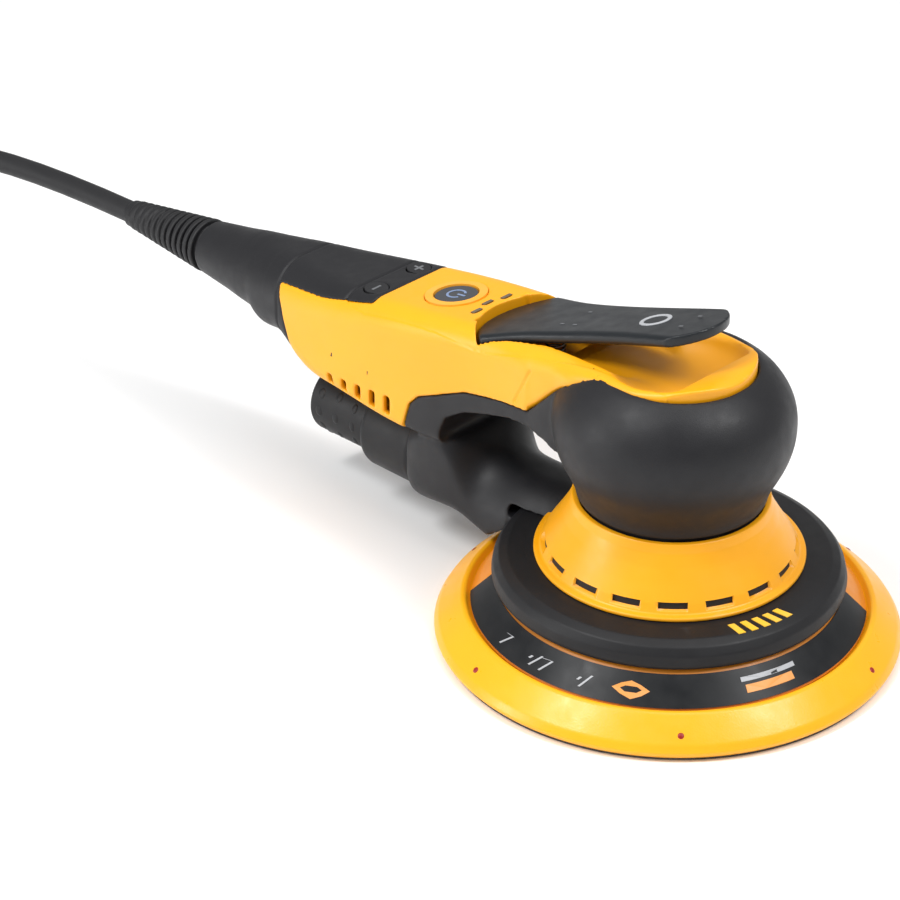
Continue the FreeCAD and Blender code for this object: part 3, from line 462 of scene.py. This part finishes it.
def bush_caps():
    """Domed red plugs set into the pad's bevel."""
    work = bmesh.new()
    for index in range(BUSH_COUNT):
        angle = math.radians(BUSH_START + 360.0 * index / BUSH_COUNT)
        out = Vector((math.cos(angle), math.sin(angle), 0))
        lean = (out * 0.68 + Vector((0, 0, 0.73))).normalized()
        centre = Vector((*PAD_CENTRE, 0)) + out * BUSH_CIRCLE + Vector((0, 0, BUSH_HEIGHT))
        turn = lean.to_track_quat("Z", "Y").to_matrix().to_4x4()
        bmesh.ops.create_uvsphere(work, u_segments=24, v_segments=12, radius=BUSH_RADIUS * MM,
                                  matrix=Matrix.Translation(centre * MM) @ turn
                                  @ Matrix.Diagonal((1, 1, 0.45, 1)))
    mesh = bpy.data.meshes.new("bush_caps")
    work.to_mesh(mesh)
    work.free()
    return mesh


def pad():
    piece("bush_caps", bush_caps(), "pad", "red_plastic", ["rim_bushes"])
    foam = cut(lathe("pad_rim", FOAM, 0.7, centre=PAD_CENTRE), dust_holes(), "pad_rim")
    piece("pad_rim", foam, "pad", "pad_foam_yellow", ["pad_foam"])
    plate = cut(lathe("pad_cone", PLATE, 0.6, centre=PAD_CENTRE), dust_holes(), "pad_cone")
    piece("pad_cone", plate, "pad", "pad_orange", ["pad_plate"])
    ticks = []
    for azimuth in (-106, -92, -88, -74):
        ticks.append(stroke(azimuth - 1.6, 0.22, azimuth + 1.4, 0.62, 0.35))
    for azimuth in (-107.5, -90.5):
        ticks.append(stroke(azimuth, 0.58, azimuth + 3.2, 0.62, 0.5))
    for azimuth in (-93.5, -75.5):
        ticks.append(stroke(azimuth - 1.2, 0.4, azimuth - 0.4, 0.5, 0.4))
    ticks.append(bent_quad(-27, -8, 0.60, 0.74))
    piece("pad_ticks", sheet_on("pad_ticks", ticks, on_label), "pad", "label_print",
          material=MARK_GREY, smooth=False)
    diamond = [(-63.2, 0.3), (-60, 0.18), (-57.0, 0.3), (-54.6, 0.46), (-57.4, 0.62),
               (-60.4, 0.72), (-63.4, 0.62), (-66, 0.46)]
    bar = bent_quad(-26, -10, 0.26, 0.5)
    piece("pad_emblem", sheet_on("pad_emblem", [diamond, bar], on_label), "pad", "label_print",
          material=MARK_ORANGE, smooth=False)


# ---------------------------------------------------------------- head
SKIRT = [(33, 27), (33, 29.2), (46, 29.2), (51.5, 28.8), (54.4, 27.4), (56.1, 25), (56.7, 22),
         (56.5, 20.8), (54.9, 20.8), (54.7, 24.2), (53, 26.2), (50, 27)]
COLLAR = [(33, 29.4), (43.3, 29.4), (43.3, 30.6), (41.4, 31.1), (40, 33.9), (36.9, 38.6),
          (34.2, 43), (32.2, 47), (31.4, 50), (29.6, 50), (30.2, 46.6), (32.3, 42.4), (35, 38),
          (37.6, 34.4), (37.9, 32.8), (33, 32.8)]
SLOT_COUNT = 17
SLOT_TURN = -5.6
SLOT_MIDDLE = 33.1


def on_skirt(azimuth, reach):
    """Point on the skirt's upper face: azimuth in degrees, reach in millimetres."""
    height = 29.2 if reach < 46 else 29.2 - 0.4 * ((reach - 46) / 5.5) ** 2
    angle = math.radians(azimuth)
    return (Vector((reach * math.cos(angle), reach * math.sin(angle), height)),
            Vector((0, 0, 1)))


def ripple(height, angle):
    """Faint unevenness of the rubber skirt."""
    return 0.05 * math.sin(angle * 7 + height)


def head():
    skirt = lathe("skirt", SKIRT, 0.5, wave=ripple)
    piece("skirt", skirt, "housing", "black_plastic", ["dust_skirt"])
    slots = [((42, 0, SLOT_MIDDLE), (12, 9.2, 2.4), SLOT_TURN + 360 * step / SLOT_COUNT)
             for step in range(SLOT_COUNT)]
    collar = cut(lathe("collar", COLLAR, 0.5), box_mesh("collar_slots", slots), "collar")
    piece("collar", collar, "housing", "yellow_plastic", ["cooling_collar"], smooth=True)
    # Near-black ring set in the collar's slots: painted shade where the inside of the vents falls
    # dark.
    dark = lathe("collar_slot_shade", [(38, 31.5), (39.7, 31.5), (39.0, 34.6), (38, 34.8)], 0.1)
    piece("collar_slot_shade", dark, "housing", "black_plastic", material=PAINTED_SLOT_SHADE)
    bars = [[(azimuth, 47.0), (azimuth + 2.6, 47.0), (azimuth + 4.4, 52.0),
             (azimuth + 1.8, 52.0)] for azimuth in (-27, -22, -17, -12, -7)]
    piece("skirt_bars", sheet_on("skirt_bars", bars, on_skirt, 0.2), "housing", "black_plastic",
          material=MARK_YELLOW, smooth=False)


# ---------------------------------------------------------------- shells
GRIP_GROOVES = (-0.162, -0.127)


def grooves(place):
    """Shallow seams across the rear grip."""
    return -0.0006 * max(math.exp(-((place.x - x) / 0.0005) ** 2) for x in GRIP_GROOVES)


SEAM_PROUD = 0.14 * MM
SEAM_SET_BACK = -0.22 * MM
RECESS_SET_BACK = -0.12 * MM
CREASE_FROM = Vector((-0.0405, 0, 0.0865))
CREASE_TO = Vector((-0.0475, 0, 0.0735))
CREASE_DEPTH = 0.5 * MM
CREASE_WIDTH = 0.45 * MM


def yellow_relief(place):
    """Moulded shell: a little proud of the grip, with a crease down each shoulder."""
    if place.z > 0.079 and abs(place.y) < 0.0208:
        return RECESS_SET_BACK
    line = CREASE_TO - CREASE_FROM
    flat = Vector((place.x, 0, place.z)) - CREASE_FROM
    share = flat.dot(line) / line.length_squared
    if not -0.05 < share < 1.05:
        return SEAM_PROUD
    off = (flat - line * share).length
    return SEAM_PROUD - CREASE_DEPTH * math.exp(-(off / CREASE_WIDTH) ** 2)


def set_back(_place):
    """Grip moulding: a little below the yellow shell all round."""
    return SEAM_SET_BACK


DISH_CENTRE = (0.0004, 0)
DUCT_ROOT = ((-53, 0, 23.6), (10, 35, 4.6))


def in_dish(place):
    """Inner face of the front part of the cover's dish, clear of the lever's channel."""
    away = math.hypot(place.x - DISH_CENTRE[0], place.y - DISH_CENTRE[1])
    return place.z > 0.0905 and place.x > -0.010 and away < 0.0222


CONE_JOINT = (-0.188, -0.170)


def at_cone_joint(place):
    """Where the tail cone runs into the rear grip."""
    return CONE_JOINT[0] < place.x < CONE_JOINT[1]


def on_side(x, z):
    """Point on the yellow shell's right-hand side."""
    return Vector((x, -20.8 - 1.2 * (x + 135) / 25, z)), Vector((0, -1, 0))


def shells():
    yellow = softened("yellow_shell", ["handle_shell", "top_cover"], 0.42 * MM, 12,
                      yellow_relief)
    relax(yellow, in_dish, 60)
    piece("yellow_shell", yellow, "housing", "yellow_plastic", ["handle_shell", "top_cover"])
    black = softened("grip_moulding", ["palm_grip", "handle_web", "exhaust_duct"], 0.6 * MM, 16,
                     set_back, DUCT_ROOT)
    piece("grip_moulding", black, "housing", "grip_rubber",
          ["palm_grip", "handle_web", "exhaust_duct"])
    rear = softened("rear_cover", ["rear_grip", "rear_cone"], 0.45 * MM, 10, grooves)
    relax(rear, at_cone_joint, 60)
    piece("rear_cover", rear, "housing", "grip_rubber", ["rear_grip", "rear_cone"])
    dashes = [[(x, 57.4), (x + 1.5, 57.4), (x + 1.9, 58.9), (x + 0.4, 58.9)]
              for x in (-132, -129.6, -127.2, -123.6, -121.2, -117.6, -115.2)]
    piece("side_dashes", sheet_on("side_dashes", dashes, on_side, 0.25), "housing",
          "yellow_plastic", material=FINISHES["label_print"], smooth=False)


# ---------------------------------------------------------------- lever and buttons
LEVER_SLOPE = math.radians(18.9)
LEVER_RING = (-9.0, 108.05)


def on_lever(u, v):
    """Point on the lever's upper face: u along it from the ring, v across."""
    along = Vector((math.cos(LEVER_SLOPE), 0, math.sin(LEVER_SLOPE)))
    up = Vector((-math.sin(LEVER_SLOPE), 0, math.cos(LEVER_SLOPE)))
    return Vector((LEVER_RING[0], 0, LEVER_RING[1])) + along * u + Vector((0, v, 0)), up


def oval_ring(name, surface, half_u, half_v, wide, tall, steps=64):
    """Raised ring with a rounded section."""
    work = bmesh.new()
    rows = []
    for step in range(steps):
        angle = 2 * math.pi * step / steps
        row = []
        for turn in range(10):
            side = 2 * math.pi * turn / 10
            grow = wide / 2 * math.cos(side)
            place, normal = surface((half_u + grow) * math.cos(angle),
                                    (half_v + grow) * math.sin(angle))
            row.append(work.verts.new((place + normal * tall * math.sin(side)) * MM))
        rows.append(row)
    for step in range(steps):
        here, there = rows[step], rows[(step + 1) % steps]
        for turn in range(10):
            after = (turn + 1) % 10
            work.faces.new((here[turn], here[after], there[after], there[turn]))
    bmesh.ops.recalc_face_normals(work, faces=work.faces)
    mesh = bpy.data.meshes.new(name)
    work.to_mesh(mesh)
    work.free()
    return mesh


def lever():
    paddle = softened("lever_blade", ["lever_paddle"], 0.45 * MM, 7)
    piece("lever_blade", paddle, "lever", "lever_plastic", ["lever_paddle"])
    ring = oval_ring("lever_ring", on_lever, 4.6, 4.4, 1.5, 0.35)
    piece("lever_ring", ring, "lever", "lever_plastic", material=MARK_GREY)
    dots = [[(u, v), (u + 1.6, v), (u + 1.6, v + 0.6), (u, v + 0.6)]
            for u, v in ((-36, -6), (-34, 5), (-30, -6.5), (14, -5), (14, 4))]
    piece("lever_dashes", sheet_on("lever_dashes", dots, on_lever), "lever", "lever_plastic",
          material=FINISHES["grey_plastic"], smooth=False)


BUTTON_PLACE = (-94.0, 86.0)
BUTTON_TILT = math.radians(-8.0)
BUTTON_TOP = 0.5


def on_button(u, v):
    """Point on the power button's face, u along the handle and v across."""
    along = Vector((math.cos(BUTTON_TILT), 0, -math.sin(BUTTON_TILT)))
    up = Vector((math.sin(BUTTON_TILT), 0, math.cos(BUTTON_TILT)))
    centre = Vector((BUTTON_PLACE[0], 0, BUTTON_PLACE[1])) + up * BUTTON_TOP
    return centre + along * u + Vector((0, v, 0)), up


def buttons():
    arc = []
    for step in range(25):
        angle = math.radians(35 + 290 * step / 24)
        arc.append((2.6 * math.cos(angle), 2.6 * math.sin(angle)))
    for step in range(24, -1, -1):
        angle = math.radians(35 + 290 * step / 24)
        arc.append((3.4 * math.cos(angle), 3.4 * math.sin(angle)))
    stem = [(0.6, -0.4), (3.9, -0.4), (3.9, 0.4), (0.6, 0.4)]
    piece("button_symbol", sheet_on("button_symbol", [arc, stem], on_button, 0.1),
          "power_button", "button_gloss", material=MARK_BLUE, smooth=False)
    for body, node, crossed in (("speed_down", "speed_down_button", False),
                                ("speed_up", "speed_up_button", True)):
        low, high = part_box(node)
        middle = Vector(((low[0] + high[0]) / 2, (low[1] + high[1]) / 2, high[2])) / MM

        def surface(u, v, centre=middle):
            return centre + Vector((u, v, 0)), Vector((0, 0, 1))

        signs = [[(-0.4, -2), (0.4, -2), (0.4, 2), (-0.4, 2)]]
        if crossed:
            signs += [[(-2, -0.4), (-0.45, -0.4), (-0.45, 0.4), (-2, 0.4)],
                      [(0.45, -0.4), (2, -0.4), (2, 0.4), (0.45, 0.4)]]
        name = "%s_sign" % body
        piece(name, sheet_on(name, signs, surface, 0.1), body, "grey_plastic",
              material=FINISHES["grey_plastic"], smooth=False)


# ---------------------------------------------------------------- hose fitting, tail and plug
HOSE_HEIGHT = 26.7
HOSE_COLLAR = [(-125, 12), (-125, 15), (-123.5, 15.6), (-103.5, 15.7), (-101.5, 15.1),
               (-101.5, 13.9), (-108.4, 13.9), (-108.4, 12)]
SPIGOT = [(-152, 10.7), (-152, 12.1), (-151.2, 12.45), (-125.5, 12.45), (-125.2, 11.95),
          (-108.5, 11.95), (-108.5, 10.7)]

def ribs(place, angle):
    """Lengthways ribs on the hose collar's grip band."""
    inside = -122 < place < -106
    return (0.22 * abs(math.cos(angle * 22)) - 0.2) if inside else 0.0


NOZZLE_LUG_ROWS = ((-147.5, 3.4, 12), (-139.5, 3.0, 10), (-131.5, 2.6, 12))


def nozzle_lugs():
    """Rows of low rounded lugs round the nozzle that grip the hose's end."""
    work = bmesh.new()
    for row, (place, long, count) in enumerate(NOZZLE_LUG_ROWS):
        for step in range(count):
            angle = 2 * math.pi * (step + 0.5 * (row % 2)) / count
            spin = Matrix.Rotation(angle, 4, "X")
            bmesh.ops.create_uvsphere(
                work, u_segments=20, v_segments=12, radius=1.0,
                matrix=spin @ Matrix.Translation(Vector((place, 0, 12.25)) * MM)
                @ Matrix.Diagonal((long / 2 * MM, 1.9 * MM, 0.5 * MM, 1)))
    mesh = bpy.data.meshes.new("nozzle_lugs")
    work.to_mesh(mesh)
    work.free()
    return mesh


def hose():
    lift = Matrix.Translation((0, 0, HOSE_HEIGHT * MM))
    collar = lathe("hose_cuff", HOSE_COLLAR, 0.5, segments=264, along_x=True, wave=ribs)
    collar.transform(lift)
    piece("hose_cuff", collar, "hose_swivel", "black_plastic", ["hose_collar"])
    spigot = lathe("hose_nozzle", SPIGOT, 0.35, along_x=True)
    spigot.transform(lift)
    piece("hose_nozzle", spigot, "hose_swivel", "black_plastic", ["hose_spigot"])
    lugs = nozzle_lugs()
    lugs.transform(lift)
    piece("nozzle_lugs", lugs, "hose_swivel", "black_plastic")


def tail():
    sleeve = softened("cord_sleeve", ["strain_relief"], 0.35 * MM, 4)
    piece("cord_sleeve", sleeve, "housing", "cord_rubber", ["strain_relief"])
    plug = softened("plug_shell", ["plug_body"], 0.5 * MM, 8)
    piece("plug_shell", plug, "housing", "black_plastic", ["plug_body"])


# ---------------------------------------------------------------- cord
CORD_DIAMETER = 0.008
ROUTE = [(-0.255, 0, 0.06114), (-0.335, 0, 0.0608), (-0.375, -0.024, 0.054),
         (-0.408, -0.027, 0.024), (-0.444, -0.023, 0.0043)]
COIL_CENTRE = (-0.480, -0.079)
COIL_RADII = (0.056, 0.048, 0.040, 0.032)
COIL_START = 90.0
COIL_LAYERS = 3
LAYER_HEIGHT = 0.0072
FLOOR_HEIGHT = 0.0043
TURN_STEPS = 14
PLUG_ENTRY = (-0.4643, -0.0358, 0.0295)
PLUG_BEARING = 70.0


def coil_points():
    """Three flat layers wound in, out and in, then one turn on top that ends in the plug."""
    points = []
    turns = 0
    start = math.radians(COIL_START)
    for layer in range(COIL_LAYERS):
        order = COIL_RADII if layer % 2 == 0 else COIL_RADII[::-1]
        for index, radius in enumerate(order):
            last = index + 1 == len(order)
            following = radius if last else order[index + 1]
            for step in range(TURN_STEPS):
                share = step / TURN_STEPS
                blend = max(0.0, (share - 0.75) / 0.25)
                reach = radius + (following - radius) * blend
                rise = layer + (blend if last else 0)
                angle = start + 2 * math.pi * (turns + share)
                points.append((COIL_CENTRE[0] + reach * math.cos(angle),
                               COIL_CENTRE[1] + reach * math.sin(angle),
                               FLOOR_HEIGHT + LAYER_HEIGHT * rise))
            turns += 1
    sweep = 2 * math.pi + math.radians(PLUG_BEARING - COIL_START)
    for step in range(TURN_STEPS):
        share = step / TURN_STEPS
        reach = 0.044 + 0.003 * math.cos(2 * math.pi * share)
        angle = start + 2 * math.pi * turns + sweep * share
        rise = LAYER_HEIGHT * (COIL_LAYERS - 1 + min(1.0, share * 6)) + 0.003 * share ** 3
        points.append((COIL_CENTRE[0] + reach * math.cos(angle),
                       COIL_CENTRE[1] + reach * math.sin(angle), FLOOR_HEIGHT + rise))
    return points + [PLUG_ENTRY]


def cord():
    curve = bpy.data.curves.new("cord_cable", "CURVE")
    curve.dimensions = "3D"
    spline = curve.splines.new("NURBS")
    points = ROUTE + coil_points()
    spline.points.add(len(points) - 1)
    for point, place in zip(spline.points, points):
        point.co = (*place, 1)
    spline.order_u = 3
    spline.use_endpoint_u = True
    curve.bevel_depth = CORD_DIAMETER / 2
    curve.bevel_resolution = 6
    curve.resolution_u = 8
    curve.materials.append(FINISHES["cord_rubber"])
    item = link("cord_cable", curve)
    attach(item, "housing")
    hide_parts("cord", "cord_coil")


camera()
studio()
paint_cad_nodes()
pad()
head()
shells()
lever()
buttons()
hose()
tail()
cord()
